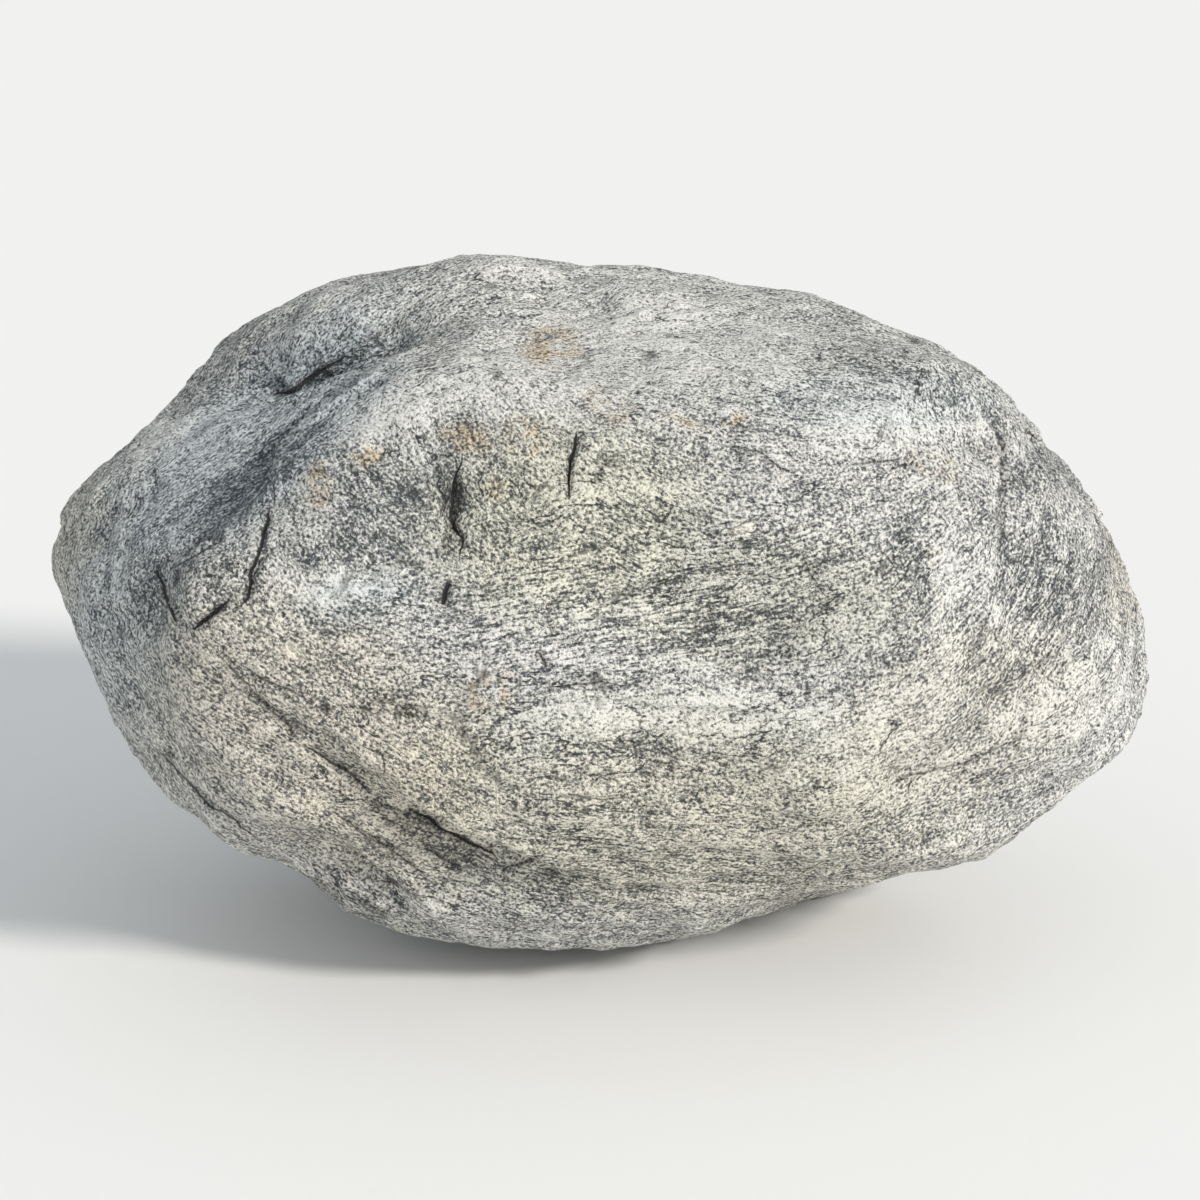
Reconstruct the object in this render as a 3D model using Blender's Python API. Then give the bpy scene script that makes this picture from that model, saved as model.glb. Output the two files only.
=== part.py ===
"""Landscape boulder: one weathered block of banded gneiss, 0.90 m long, resting on a small flat.

Run it with: blender --background --python part.py

Metres, +Z up, the origin under the middle of the stone on the ground. The front is towards -Y and
the long axis lies along X. The stone is a ball of quads drawn out to a block with worn edges. Its
broad faces are planes at stated distances from a core point. Troughs, ridges, ledges, chips and
lumps are then worked into it along lines laid out as an observer in front, or behind, sees them.
"""

from dataclasses import dataclass
from math import atan2, ceil, cos, degrees, exp, floor, pi, radians, sin, tan

import bmesh
import bpy
from mathutils import Vector, noise
from mathutils.bvhtree import BVHTree
from mathutils.geometry import intersect_point_line

# Driving dimensions
LENGTH = 0.90
DEPTH = 0.60
HEIGHT = 0.55
CORE_HEIGHT = 0.275  # the core point, from which the faces are measured, above the ground
EDGE_SHARPNESS = 30.0  # how tightly the faces meet; 2 would give an ellipsoid
CELLS_PER_SIDE = 28  # quads along each side of the ball's six panels

STONE_COLOUR = (0.53, 0.53, 0.49, 1.0)
STONE_ROUGHNESS = 0.88

# The observers who lay out the worked lines look slightly down at the core
EYE_DISTANCE = 2.6
EYE_ELEVATION = 18.0
FRONT = 0
BEHIND = 180
LEFT = -90
RIGHT = 90

# The broad faces: compass bearing (0 is the front, 90 the right), lift above the horizon, and
# distance from the core
FACES = {
    "broad front": (3, 9, 0.284),
    "front left": (-6, -14, 0.306),
    "front far left": (-58, -12, 0.392),
    "crown front": (4, 76, 0.262),
    "shoulder left": (-64, 52, 0.303),
    "crown": (158, 78, 0.276),
    "crown left": (-142, 68, 0.312),
    "crown right": (128, 62, 0.304),
    "upper right": (100, 36, 0.372),
    "end right upper": (88, 17, 0.412),
    "end right": (62, 6, 0.402),
    "end right tip": (92, -8, 0.474),
    "lower right": (68, -38, 0.406),
    "under right": (68, -49, 0.362),
    "under front right": (40, -62, 0.285),
    "under front": (-10, -70, 0.288),
    "ground": (0, -90, 0.280),
    "lower front": (6, -30, 0.292),
    "lower front left": (-8, -30, 0.310),
    "rim right": (26, 40, 0.330),
    "rim middle": (-6, 44, 0.298),
    "front right": (30, -4, 0.338),
    "under left": (-74, -60, 0.338),
    "lower left": (-72, -43, 0.362),
    "left": (-78, -22, 0.405),
    "left tip": (-88, -6, 0.466),
    "nose left": (-98, 20, 0.456),
    "upper left": (-108, 44, 0.374),
    "upper back left": (-116, 53, 0.360),
    "back left": (-140, 6, 0.350),
    "broad back": (184, 10, 0.296),
    "upper back": (172, 46, 0.290),
    "lower back": (180, -36, 0.290),
    "back right": (142, 4, 0.352),
    "under back left": (-125, -38, 0.345),
    "under back right": (122, -40, 0.345),
}


# The corners of the stone's outline as the observer in front sees it, clockwise from the upper
# left: millimetres right of and above the core
OUTLINE = (
    (-227, 258), (-106, 286), (-60, 283), (-20, 274), (33, 273), (168, 252), (231, 230),
    (293, 204), (321, 184), (387, 104), (410, 68), (440, 1), (449, -53), (442, -98), (438, -109),
    (415, -137), (317, -211), (221, -236), (171, -245), (122, -262), (77, -278), (-19, -286),
    (-103, -283), (-158, -274), (-186, -265), (-213, -252), (-250, -222), (-309, -200),
    (-353, -164), (-392, -113), (-447, 14), (-451, 36), (-448, 52), (-438, 78), (-411, 109),
    (-377, 137), (-342, 175), (-314, 210), (-267, 240),
)
OUTLINE_STEP = 2  # degrees between the directions in which the outline is fitted
OUTLINE_PASSES = 3

# Lumps left by weathering: how long a lump is, and how far it stands out or in
LUMPS = ((0.26, 0.012), (0.11, 0.006), (0.05, 0.003))
WAVINESS = 0.07  # how far the edges between the faces wander, as a share of the distance


@dataclass
class Swell:
    """A ridge (rise above 0) or trough (below 0) along a line, worn round across its width."""

    seen_from: float
    rise: float
    width: float
    marks: tuple

    def lift(self, distance, _side, along):
        return self.rise * exp(-((distance / self.width) ** 2)) * taper(along)


@dataclass
class Ledge:
    """A scarp along a line: the side to the left of its run stands proud, the other is sunk."""

    seen_from: float
    rise: float
    drop: float
    width: float
    marks: tuple

    def lift(self, distance, side, along):
        height = self.rise if side > 0 else self.drop
        return height * side * exp(-distance / self.width) * taper(along)


def taper(along):
    """1 along the middle of a line, easing to 0.35 at its two ends."""
    return 0.35 + 0.65 * min(1.0, 5 * along, 5 * (1 - along))


# The worked lines. Marks are metres right of and above the core, as the observer sees them.
WORKED = {
    "trough upper": Swell(FRONT, -0.020, 0.024, ((-0.14, 0.26), (-0.175, 0.22), (-0.22, 0.20), (-0.26, 0.178), (-0.305, 0.172))),
    "ridge middle": Swell(FRONT, 0.008, 0.022, ((-0.105, 0.22), (-0.155, 0.195), (-0.205, 0.175), (-0.255, 0.155))),
    "edge block left": Ledge(FRONT, 0.003, 0.017, 0.036, ((-0.12, 0.21), (-0.17, 0.175), (-0.22, 0.14), (-0.26, 0.105), (-0.30, 0.075), (-0.335, 0.045), (-0.37, 0.005))),
    "hump back": Swell(FRONT, 0.016, 0.060, ((-0.245, 0.225), (-0.19, 0.245), (-0.13, 0.265))),
    "rim": Swell(FRONT, 0.006, 0.034, ((-0.08, 0.19), (-0.13, 0.175), (-0.175, 0.16), (-0.215, 0.13), (-0.26, 0.095), (-0.28, 0.055))),
    "knob": Swell(FRONT, 0.018, 0.030, ((-0.318, 0.012), (-0.330, 0.002))),
    "pit": Swell(FRONT, -0.022, 0.028, ((-0.375, 0.01), (-0.37, -0.03))),
    "ridge left": Swell(FRONT, 0.010, 0.030, ((-0.405, -0.01), (-0.385, -0.075), (-0.34, -0.135), (-0.27, -0.195))),
    "ledge low": Ledge(FRONT, 0.010, 0.018, 0.045, ((-0.23, -0.11), (-0.19, -0.14), (-0.17, -0.165), (-0.12, -0.18), (-0.075, -0.21), (-0.025, -0.225))),
    "ledge low left": Ledge(FRONT, 0.004, 0.004, 0.040, ((-0.345, -0.035), (-0.30, -0.065), (-0.265, -0.095), (-0.21, -0.12))),
    "undercut": Ledge(FRONT, 0.004, 0.020, 0.040, ((-0.325, -0.165), (-0.255, -0.205), (-0.22, -0.225), (-0.17, -0.255), (-0.13, -0.28))),
    "step upright": Ledge(FRONT, 0.005, 0.006, 0.030, ((-0.12, 0.14), (-0.12, 0.095), (-0.11, 0.04), (-0.13, 0.0))),
    "edge right": Ledge(FRONT, 0.006, 0.012, 0.045, ((0.315, -0.09), (0.33, -0.01), (0.325, 0.05), (0.325, 0.115), (0.305, 0.13), (0.30, 0.185))),
    "hollow under right": Swell(FRONT, -0.020, 0.080, ((0.20, -0.245), (0.26, -0.24))),
    "hump top": Swell(FRONT, 0.012, 0.050, ((-0.10, 0.275), (-0.08, 0.26))),
    "hump top right": Swell(FRONT, 0.006, 0.035, ((0.035, 0.268), (0.06, 0.25))),
    "hollow front": Swell(FRONT, -0.008, 0.070, ((0.015, 0.0), (0.165, -0.015))),
    "ridge light": Swell(FRONT, 0.006, 0.035, ((-0.10, -0.085), (0.015, -0.085), (0.145, -0.10), (0.245, -0.105))),
    "back rib": Ledge(BEHIND, 0.012, 0.014, 0.060, ((-0.40, 0.06), (-0.26, 0.03), (-0.12, 0.05), (0.04, 0.01), (0.18, -0.03))),
    "back hollow": Swell(BEHIND, -0.020, 0.090, ((0.05, 0.10), (0.17, 0.07))),
    "back hollow low": Swell(BEHIND, -0.014, 0.060, ((-0.25, -0.10), (-0.12, -0.14))),
    "back trough": Swell(BEHIND, -0.014, 0.030, ((0.10, 0.27), (0.17, 0.20), (0.25, 0.15), (0.33, 0.06))),
    "back ridge": Swell(BEHIND, 0.010, 0.040, ((-0.20, 0.24), (-0.05, 0.18), (0.06, 0.19))),
    "back crack": Ledge(BEHIND, 0.006, 0.010, 0.030, ((0.22, -0.20), (0.26, -0.10), (0.24, 0.0), (0.28, 0.07))),
    "crown groove": Swell(LEFT, -0.010, 0.030, ((-0.18, 0.22), (-0.06, 0.24), (0.04, 0.25), (0.16, 0.22))),
    "end right scarp": Ledge(RIGHT, 0.006, 0.012, 0.040, ((-0.16, 0.14), (-0.05, 0.10), (0.05, 0.12), (0.16, 0.06))),
    "nose groove": Swell(FRONT, -0.008, 0.020, ((-0.42, 0.055), (-0.405, 0.005), (-0.385, -0.04))),
}


def bearing(azimuth, elevation):
    """Unit vector at a compass bearing and a lift above the horizon, in degrees."""
    flat = cos(radians(elevation))
    return Vector((
        sin(radians(azimuth)) * flat,
        -cos(radians(azimuth)) * flat,
        sin(radians(elevation)),
    ))


CORE = Vector((0, 0, CORE_HEIGHT))
PLANES = [(bearing(azimuth, lift), distance) for azimuth, lift, distance in FACES.values()]


def reach(direction):
    """Distance from the core to the worn block's surface along a unit direction."""
    total = 0.0
    for normal, distance in PLANES:
        facing = direction.dot(normal)
        if facing > 0:
            total += (facing / distance) ** EDGE_SHARPNESS
    return total ** (-1 / EDGE_SHARPNESS)


def ball_of_quads():
    """A cube's six gridded panels, blown up to an ellipsoid with even quads."""
    mesh = bmesh.new()
    bmesh.ops.create_cube(mesh, size=2)
    bmesh.ops.subdivide_edges(mesh, edges=mesh.edges, cuts=CELLS_PER_SIDE - 1, use_grid_fill=True)
    half = Vector((LENGTH / 2, DEPTH / 2, HEIGHT / 2))
    for vert in mesh.verts:
        even = Vector([tan(x * pi / 4) for x in vert.co]).normalized()
        vert.co = even * half
    return mesh


def marks_on_stone(tree, work):
    """The line's marks carried from the observer's view onto the stone, as (point, normal)."""
    towards = bearing(work.seen_from, EYE_ELEVATION)
    right = Vector((cos(radians(work.seen_from)), sin(radians(work.seen_from)), 0))
    up = towards.cross(right)
    eye = CORE + towards * EYE_DISTANCE
    found = []
    for u, v in work.marks:
        aim = CORE + right * u + up * v
        point, normal, _, _ = tree.ray_cast(eye, (aim - eye).normalized())
        if point is None:  # the mark lies just outside the outline: take the nearest stone
            point, normal, _, _ = tree.find_nearest(aim)
        found.append((point, normal))
    return found


def place_on_line(marks, point):
    """Distance of a point from a line, its side (1 left of the run, -1 right), how far along."""
    nearest = None
    for step, ((start, normal), (end, _)) in enumerate(zip(marks, marks[1:])):
        _, share = intersect_point_line(point, start, end)
        share = min(1.0, max(0.0, share))
        offset = point - start.lerp(end, share)
        if nearest is None or offset.length < nearest[0].length:
            left = normal.cross(end - start).normalized()
            nearest = (offset, left, (step + share) / (len(marks) - 1))
    offset, left, along = nearest
    return offset.length, offset.normalized().dot(left), along


def work_surface(mesh):
    """Raises and sinks the mesh's points along their normals by every worked line."""
    mesh.normal_update()
    tree = BVHTree.FromBMesh(mesh)
    lifts = {vert: 0.0 for vert in mesh.verts}
    for work in WORKED.values():
        marks = marks_on_stone(tree, work)
        farthest = 3 * work.width
        for vert in mesh.verts:
            distance, side, along = place_on_line(marks, vert.co)
            if distance < farthest:
                lifts[vert] += work.lift(distance, side, along)
    for vert, lift in lifts.items():
        vert.co += vert.normal * lift


def radii_around(segments):
    """The farthest crossing of each direction in the view by any of the segments."""
    count = 360 // OUTLINE_STEP
    radii = [0.0] * count
    for start, end in segments:
        first = degrees(atan2(start.y, start.x)) / OUTLINE_STEP
        sweep = degrees(atan2(end.y, end.x)) / OUTLINE_STEP - first
        sweep = (sweep + count / 2) % count - count / 2
        low, high = sorted((first, first + sweep))
        for turn in range(ceil(low), floor(high) + 1):
            ray = Vector((cos(radians(turn * OUTLINE_STEP)), sin(radians(turn * OUTLINE_STEP))))
            near, far = start.cross(ray), end.cross(ray)
            if near != far:
                meet = start.lerp(end, near / (near - far)).dot(ray)
                radii[turn % count] = max(radii[turn % count], meet)
    return radii


def between(values, turn):
    """A value read between two directions of the ring."""
    low, share = int(turn) % len(values), turn % 1
    return values[low] * (1 - share) + values[(low + 1) % len(values)] * share


def fit_outline(mesh):
    """Draws the stone's rim out or in, across the front observer's view, to the wanted outline."""
    towards = bearing(FRONT, EYE_ELEVATION)
    right = Vector((1, 0, 0))
    up = towards.cross(right)
    eye = CORE + towards * EYE_DISTANCE
    corners = [Vector(corner) / 1000 for corner in OUTLINE]
    wanted = radii_around(zip(corners, corners[1:] + corners[:1]))
    mesh.verts.index_update()
    seen = []
    for vert in mesh.verts:
        sight = vert.co - eye
        offset = eye + sight * (EYE_DISTANCE / -sight.dot(towards)) - CORE
        seen.append(Vector((offset.dot(right), offset.dot(up))))
    rims = radii_around([[seen[vert.index] for vert in edge.verts] for edge in mesh.edges])
    ratios = [radius / rim for radius, rim in zip(wanted, rims)]
    for vert, place in zip(mesh.verts, seen):
        turn = degrees(atan2(place.y, place.x)) % 360 / OUTLINE_STEP
        near_rim = max(0.0, place.length / between(rims, turn) - 0.5) * 2
        ease = near_rim * near_rim * (3 - 2 * near_rim)
        shift = place * ((between(ratios, turn) - 1) * ease)
        nearness = -(vert.co - eye).dot(towards) / EYE_DISTANCE
        vert.co += (right * shift.x + up * shift.y) * nearness


def drift(place):
    """A smooth wandering vector: the same noise read at three places far apart."""
    apart = (Vector((0, 0, 0)), Vector((31.7, 4.1, 9.3)), Vector((7.9, 57.3, 21.1)))
    return Vector([noise.noise(place + offset) for offset in apart])


def add_lumps(mesh):
    """Sets the surface in and out by smooth noise, drawn out along the banding."""
    mesh.normal_update()
    lifts = []
    for vert in mesh.verts:
        place = vert.co
        banded = Vector((place.x * 0.7 + place.z * 0.15, place.y, place.z * 1.4 - place.x * 0.2))
        lifts.append(sum(rise * noise.noise(banded / length) for length, rise in LUMPS))
    for vert, lift in zip(mesh.verts, lifts):
        vert.co += vert.normal * lift


def cut_base(mesh):
    """Cuts the resting flat at the ground and closes it."""
    everything = mesh.verts[:] + mesh.edges[:] + mesh.faces[:]
    cut = bmesh.ops.bisect_plane(
        mesh, geom=everything, plane_co=(0, 0, 0), plane_no=(0, 0, -1), clear_outer=True
    )
    rim = [item for item in cut["geom_cut"] if isinstance(item, bmesh.types.BMEdge)]
    bmesh.ops.contextual_create(mesh, geom=rim)
    for face in mesh.faces:
        face.smooth = True
    for edge in rim:
        edge.smooth = False


def shaped_stone():
    """The whole stone as a mesh, still centred on its core."""
    mesh = ball_of_quads()
    for vert in mesh.verts:
        direction = vert.co.normalized()
        wander = drift(direction * 2.2) + 0.5 * drift(direction * 5)
        seen_as = (direction + wander * WAVINESS).normalized()
        vert.co = CORE + direction * reach(seen_as)
    add_lumps(mesh)
    work_surface(mesh)
    for _ in range(OUTLINE_PASSES):
        fit_outline(mesh)
    cut_base(mesh)
    return mesh


def centre_on_ground(mesh):
    """Moves the middle of the stone's length and depth over the origin."""
    for axis in (0, 1):
        places = [vert.co[axis] for vert in mesh.verts]
        middle = (min(places) + max(places)) / 2
        for vert in mesh.verts:
            vert.co[axis] -= middle


def stone_finish():
    """Dry, matt gneiss: the grey of its bands and its white quartz seen together."""
    finish = bpy.data.materials.new("stone")
    finish.use_nodes = True
    shader = finish.node_tree.nodes["Principled BSDF"]
    shader.inputs["Base Color"].default_value = STONE_COLOUR
    shader.inputs["Roughness"].default_value = STONE_ROUGHNESS
    return finish


def main():
    for old in list(bpy.data.objects):
        bpy.data.objects.remove(old)
    mesh = shaped_stone()
    centre_on_ground(mesh)
    data = bpy.data.meshes.new("boulder")
    mesh.to_mesh(data)
    mesh.free()
    data.materials.append(stone_finish())
    stone = bpy.data.objects.new("boulder", data)
    bpy.context.scene.collection.objects.link(stone)


main()
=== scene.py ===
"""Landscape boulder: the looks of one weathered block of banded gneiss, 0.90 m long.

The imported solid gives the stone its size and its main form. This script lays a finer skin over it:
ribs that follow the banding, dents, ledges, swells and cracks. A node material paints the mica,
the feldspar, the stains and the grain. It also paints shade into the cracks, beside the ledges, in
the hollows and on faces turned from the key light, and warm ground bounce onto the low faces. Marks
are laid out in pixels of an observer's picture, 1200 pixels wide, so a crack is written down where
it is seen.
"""

import logging
from dataclasses import dataclass, field
from enum import Enum
from math import cos, pi, radians, sin

import bmesh
import bpy
import numpy as np
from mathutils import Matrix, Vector, noise
from mathutils.bvhtree import BVHTree


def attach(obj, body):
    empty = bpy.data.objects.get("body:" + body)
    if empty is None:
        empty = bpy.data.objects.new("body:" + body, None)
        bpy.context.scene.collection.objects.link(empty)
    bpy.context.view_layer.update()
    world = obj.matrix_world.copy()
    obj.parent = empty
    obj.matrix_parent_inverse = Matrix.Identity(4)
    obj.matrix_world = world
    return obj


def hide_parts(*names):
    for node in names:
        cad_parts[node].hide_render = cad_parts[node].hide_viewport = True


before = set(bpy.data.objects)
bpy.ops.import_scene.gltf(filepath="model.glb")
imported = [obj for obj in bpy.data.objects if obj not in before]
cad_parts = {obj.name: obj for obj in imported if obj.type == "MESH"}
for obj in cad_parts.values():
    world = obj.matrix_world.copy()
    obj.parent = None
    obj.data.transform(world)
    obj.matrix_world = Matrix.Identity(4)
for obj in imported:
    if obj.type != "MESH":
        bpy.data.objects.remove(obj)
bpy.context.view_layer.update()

logging.basicConfig(level=logging.INFO, format="%(message)s")
log = logging.getLogger("boulder")

Line = tuple[tuple[float, float], ...]
Colour = tuple[float, float, float, float]
Array = np.ndarray
Mesh = bpy.types.Mesh
Socket = bpy.types.NodeSocket

MM_PER_METRE = 1000
PICTURE = 1200
SENSOR = 36.0
CORE = np.array((-0.0016, -0.0030, 0.275))

MOST_TRIANGLES = 196_000
LEVELS = 3
WELD = 1e-5
SQUARE_ENOUGH = radians(40)
BASE_FADE = 0.014
FAR_FROM_CRACK = 50.0

OCTAVE_FADE = 0.9
OCTAVE_STEP = 2.1
TINY = 1e-12
SMALL_DISTANCE = 1e-9
WORN_SHARE = 0.22

LAYERS = 3
MAPS_PER_LAYER = 150
FIRST_POINT_STEP = 997
MAP_SPACING = (0.37, 0.71, 0.53)
LAYER_SPACING = 1.9
MAP_OVERLAP = 0.05
LEAST_WEIGHT = 1e-4

SUNK_GAIN = 2500
SUNK_PASSES = 4
OWN_SHARE = 0.4
NEIGHBOUR_SHARE = 0.6


def unit(vectors: Array) -> Array:
    """Vectors scaled to length 1.

    Args:
        vectors: One vector, or an array of them along the last axis.

    Returns:
        The same array with each vector's length set to 1.
    """
    return vectors / np.maximum(np.linalg.norm(vectors, axis=-1, keepdims=True), TINY)


def smooth_step(low: float, high: float, values: Array) -> Array:
    """0 below low, 1 above high, eased between them.

    Args:
        low: The value where the step starts.
        high: The value where it ends.
        values: The values to ease.

    Returns:
        The eased values, from 0 to 1.
    """
    share = np.clip((values - low) / (high - low), 0.0, 1.0)
    return share * share * (3.0 - 2.0 * share)


def fractal(points: Array, size: float, octaves: int, seed: float = 0.0) -> Array:
    """Smooth noise of several octaves, about -1 to 1.

    Args:
        points: Places in metres, one per row.
        size: Length of the largest lumps, in metres.
        octaves: How many times finer detail is added.
        seed: Shifts the pattern, so that two calls differ.

    Returns:
        One value per point.
    """
    places = points / size + seed
    return np.array([noise.fractal(place, OCTAVE_FADE, OCTAVE_STEP, octaves) for place in places])


@dataclass(frozen=True)
class Observer:
    """Someone who stands still and lays out marks on the stone in their own picture."""

    azimuth: float
    elevation: float = 18.0
    distance: float = 2.6
    lens: float = 95.3

    def towards(self) -> Array:
        """Unit vector from the stone's core to the observer."""
        turn, lift = radians(self.azimuth), radians(self.elevation)
        return np.array((sin(turn) * cos(lift), -cos(turn) * cos(lift), sin(lift)))

    def right(self) -> Array:
        """Unit vector to the right of the picture."""
        turn = radians(self.azimuth)
        return np.array((cos(turn), sin(turn), 0.0))

    def up(self) -> Array:
        """Unit vector up the picture."""
        return np.cross(self.towards(), self.right())

    def eye(self) -> Array:
        """Where the observer's eye is."""
        return CORE + self.towards() * self.distance

    def focal(self) -> float:
        """Pixels from the eye to the picture."""
        return self.lens / SENSOR * PICTURE

    def picture(self, points: Array) -> Array:
        """Where points fall in the picture.

        Args:
            points: Places in metres, one per row.

        Returns:
            Pixels right and down from the picture's top left corner, one pair per row.
        """
        sight = points - self.eye()
        depth = -(sight @ self.towards())
        across = PICTURE / 2 + self.focal() * (sight @ self.right()) / depth
        down = PICTURE / 2 - self.focal() * (sight @ self.up()) / depth
        return np.stack((across, down), axis=1)

    def facing(self, points: Array, normals: Array) -> Array:
        """How squarely the surface faces the observer, 1 to -1.

        Args:
            points: Places in metres, one per row.
            normals: The surface's unit normals there.

        Returns:
            One cosine per point.
        """
        return np.sum(unit(self.eye() - points) * normals, axis=1)

    def sight_line(self, across: float, down: float) -> Array:
        """Unit direction from the eye through a pixel."""
        shift = self.right() * (across - PICTURE / 2) - self.up() * (down - PICTURE / 2)
        return unit(shift - self.towards() * self.focal())


class Side(Enum):
    """The observers, named by the side of the stone that they look at."""

    FRONT = Observer(0)
    BACK = Observer(180)
    LEFT = Observer(-90)
    RIGHT = Observer(90)
    TOP = Observer(0, elevation=89)
    BELOW = Observer(0, elevation=-70)


@dataclass
class Surface:
    """Points of the skin, with what each observer sees of them worked out once.

    A point's place in a picture drifts by a few pixels, so that drawn lines come out ragged.
    """

    points: Array
    normals: Array
    drift_size: float = 0.018
    drift_octaves: int = 3
    drift_seeds: tuple[float, float] = (3.1, 47.7)
    drift_pixels: float = 3.0
    sight_limits: tuple[float, float] = (-0.10, 0.12)
    seen: dict[Side, tuple[Array, Array]] = field(default_factory=dict)

    def from_side(self, side: Side) -> tuple[Array, Array]:
        """What one observer sees.

        Args:
            side: The observer.

        Returns:
            The points' ragged picture positions, and how far each counts as visible, 0 to 1.
        """
        if side not in self.seen:
            observer = side.value
            size, octaves = self.drift_size, self.drift_octaves
            ways = [fractal(self.points, size, octaves, seed) for seed in self.drift_seeds]
            places = observer.picture(self.points) + np.stack(ways, axis=1) * self.drift_pixels
            facing = observer.facing(self.points, self.normals)
            self.seen[side] = places, smooth_step(*self.sight_limits, facing)
        return self.seen[side]


def along_line(places: Array, line: Line) -> tuple[Array, Array, Array]:
    """Where points lie beside a drawn line.

    Args:
        places: Picture positions, one pair per row.
        line: The line's corners in the picture.

    Returns:
        Distance to the line, its side (1 is left of the line's run as the picture shows it, -1
        right, fading to 0 past the ends), and how far along the line the nearest place is, 0 to 1.
    """
    nearest = np.full(len(places), np.inf)
    side = np.zeros(len(places))
    along = np.zeros(len(places))
    corners = np.array(line, float)
    lengths = np.linalg.norm(np.diff(corners, axis=0), axis=1)
    run = np.concatenate(([0.0], np.cumsum(lengths))) / lengths.sum()
    for step, (start, end) in enumerate(zip(corners, corners[1:])):
        way = end - start
        share = np.clip((places - start) @ way / (way @ way), 0.0, 1.0)
        offset = places - (start + share[:, None] * way)
        distance = np.linalg.norm(offset, axis=1)
        closer = distance < nearest
        left = np.array((way[1], -way[0])) / np.linalg.norm(way)
        nearest = np.where(closer, distance, nearest)
        side = np.where(closer, offset @ left / np.maximum(distance, SMALL_DISTANCE), side)
        along = np.where(closer, run[step] + share * (run[step + 1] - run[step]), along)
    return nearest, side, along


def worn_ends(along: Array) -> Array:
    """1 along the middle of a line, easing to 0 at its two ends."""
    return smooth_step(0.0, WORN_SHARE, along) * smooth_step(0.0, WORN_SHARE, 1.0 - along)


def hump(distance: Array, width: float) -> Array:
    """1 at distance 0, falling smoothly towards 0 beyond a width."""
    return np.exp(-((distance / width) ** 2))


class Mark:
    """A mark drawn along a line of an observer's picture. Each kind has a relief of its own."""

    line: Line
    side: Side

    def beside(self, surface: Surface) -> tuple[Array, Array, Array, Array]:
        """Each point's distance, side and place along the line, and how far it is visible."""
        places, visible = surface.from_side(self.side)
        return *along_line(places, self.line), visible

    def painted_shade(self, surface: Surface) -> Array:
        """How much painted shade lies at each point, 0 to 1."""
        return np.zeros(len(surface.points))


@dataclass(frozen=True)
class Crack(Mark):
    """A narrow crack: a V cut into the stone, with painted shade in and beside it. Width is in pixels,
    depth in millimetres.
    """

    line: Line
    width: float
    depth: float
    side: Side = Side.FRONT

    # The painted shade in and beside the crack.
    shade_strength = 0.35
    shade_spread = 1.6
    traced_within = 9.0
    untraced_beyond = 16.0
    tip_width = 0.25
    swell_width = 0.75
    swell_power = 0.7
    dark_depth = 4.0
    tip_fade = 0.1

    def relief(self, surface: Surface) -> Array:
        """Metres that each point moves outwards."""
        distance, _, along, visible = self.beside(surface)
        open_here = hump(distance, self.width) * worn_ends(along)
        return -self.depth / MM_PER_METRE * open_here * visible

    def painted_shade(self, surface: Surface) -> Array:
        """How much painted shade lies in and beside the crack at each point, 0 to 1."""
        distance, _, along, visible = self.beside(surface)
        near = hump(distance, self.width * self.shade_spread)
        return self.shade_strength * near * worn_ends(along) * visible

    def trace(self, surface: Surface) -> tuple[Array, Array]:
        """Where the thin dark line of painted crack shade runs.

        Args:
            surface: The points to work on.

        Returns:
            Distance from the line in its own widths, negative on one side; how strong it is.
        """
        distance, side, along, visible = self.beside(surface)
        near = smooth_step(self.untraced_beyond, self.traced_within, distance)
        swell = self.swell_width * np.sin(pi * along) ** self.swell_power
        taper = self.width * (self.tip_width + swell)
        ends = smooth_step(0.0, self.tip_fade, along * (1 - along))
        shown = min(1.0, self.depth / self.dark_depth) * near * ends
        return np.copysign(distance, side) / taper, shown * visible


@dataclass(frozen=True)
class Ledge(Mark):
    """A scarp: the left of the line's run stands proud, the right is sunk, then both fade.

    Rise and drop are in millimetres, reach in pixels.
    """

    line: Line
    rise: float
    drop: float
    reach: float
    side: Side = Side.FRONT

    # The painted shadow that the proud side throws onto the sunk side.
    shade_strength = 0.45
    shade_width = 6.0
    dark_drop = 4.0

    def relief(self, surface: Surface) -> Array:
        """Metres that each point moves outwards."""
        distance, side, along, visible = self.beside(surface)
        height = np.where(side > 0, self.rise, self.drop) * side
        fade = np.exp(-distance / self.reach) * worn_ends(along)
        return height / MM_PER_METRE * fade * visible

    def painted_shade(self, surface: Surface) -> Array:
        """How much painted shadow lies on the sunk side at each point, 0 to 1."""
        distance, side, along, visible = self.beside(surface)
        sunk = np.clip(-side, 0.0, 1.0) * hump(distance, self.shade_width)
        strength = self.shade_strength * min(1.0, self.drop / self.dark_drop)
        return strength * sunk * worn_ends(along) * visible


@dataclass(frozen=True)
class Swell(Mark):
    """A round ridge (height above 0) or groove (below 0). Height is in mm, width in pixels."""

    line: Line
    height: float
    width: float
    side: Side = Side.FRONT

    def relief(self, surface: Surface) -> Array:
        """Metres that each point moves outwards."""
        distance, _, along, visible = self.beside(surface)
        raised = self.height / MM_PER_METRE * hump(distance, self.width)
        return raised * worn_ends(along) * visible


# The second attribute holds painted sky shade and painted ground bounce beside the olive tint; the
# third holds painted shade of cracks, ledges and pits beside the rust and cream stains.
ATTRIBUTES = ("tone", "tint_and_light", "stain_and_shade")


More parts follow.
